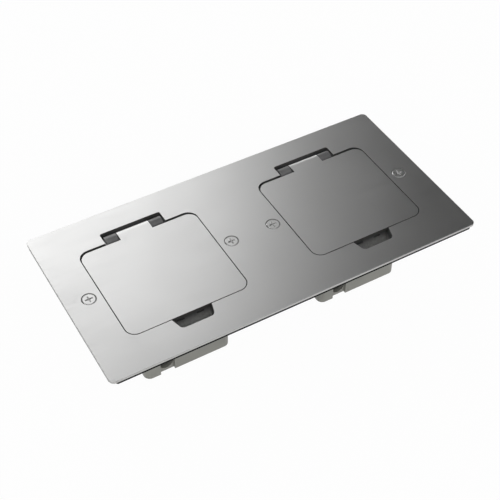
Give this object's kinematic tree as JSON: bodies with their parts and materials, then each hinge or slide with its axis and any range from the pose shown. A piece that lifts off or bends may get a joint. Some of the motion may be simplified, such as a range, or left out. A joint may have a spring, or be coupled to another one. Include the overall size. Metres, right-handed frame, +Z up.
{
  "type": "floor socket box",
  "caption": "Flush floor socket box: a steel cover plate with hinged flush lids over earthed sockets in plastic bodies, for a cut-out in the floor.",
  "frame": {"origin": "middle of the gasket's underside, at floor level, under the plate's centre", "axes": "+X along the plate, +Y towards the lid hinges, +Z up out of the floor"},
  "size_m": [0.22, 0.11, 0.0496],
  "materials": {
    "satin_stainless": "fine satin stainless sheet",
    "black_rubber": "matte closed-cell rubber",
    "dark_coated_steel": "dull dark grey phosphate coat on steel sheet",
    "dark_nylon": "dark moulded nylon, fine texture",
    "bright_steel": "zinc-plated steel",
    "stainless_screw": "turned stainless steel",
    "grey_plastic": "moulded grey plastic",
    "pale_plastic": "smooth pale moulded plastic",
    "base_plastic": "moulded insulating plastic",
    "nickelled_brass": "nickel-plated spring brass",
    "brass": "bare pressed brass"
  },
  "bodies": {
    "box": {"cover_plate": "satin_stainless", "plate_gasket": "black_rubber", "left_lid_seal": "black_rubber", "left_hinge_pin": "bright_steel", "left_hinge_bracket": "dark_coated_steel", "left_insert_frame": "dark_nylon", "left_plate_lugs": "satin_stainless", "left_fixing_screws": "stainless_screw", "left_socket_body": "grey_plastic", "left_socket_face": "pale_plastic", "left_face_screw": "bright_steel", "left_earth_strap": "nickelled_brass", "left_socket_base": "base_plastic", "left_line_contact": "brass", "left_neutral_contact": "brass", "left_terminal_clamps": "bright_steel", "right_lid_seal": "black_rubber", "right_hinge_pin": "bright_steel", "right_hinge_bracket": "dark_coated_steel", "right_insert_frame": "dark_nylon", "right_plate_lugs": "satin_stainless", "right_fixing_screws": "stainless_screw", "right_socket_body": "grey_plastic", "right_socket_face": "pale_plastic", "right_face_screw": "bright_steel", "right_earth_strap": "nickelled_brass", "right_socket_base": "base_plastic", "right_line_contact": "brass", "right_neutral_contact": "brass", "right_terminal_clamps": "bright_steel"},
    "left_lid_body": {"left_lid": "satin_stainless"},
    "right_lid_body": {"right_lid": "satin_stainless"}
  },
  "joints": [
    {"name": "left_lid_hinge", "type": "hinge", "parent": "box", "child": "left_lid_body", "pos_m": [-0.055, 0.0354, -0.00055], "axis": [-1, 0, 0], "range_deg": [0, 98]},
    {"name": "right_lid_hinge", "type": "hinge", "parent": "box", "child": "right_lid_body", "pos_m": [0.055, 0.0354, -0.00055], "axis": [-1, 0, 0], "range_deg": [0, 98]}
  ]
}
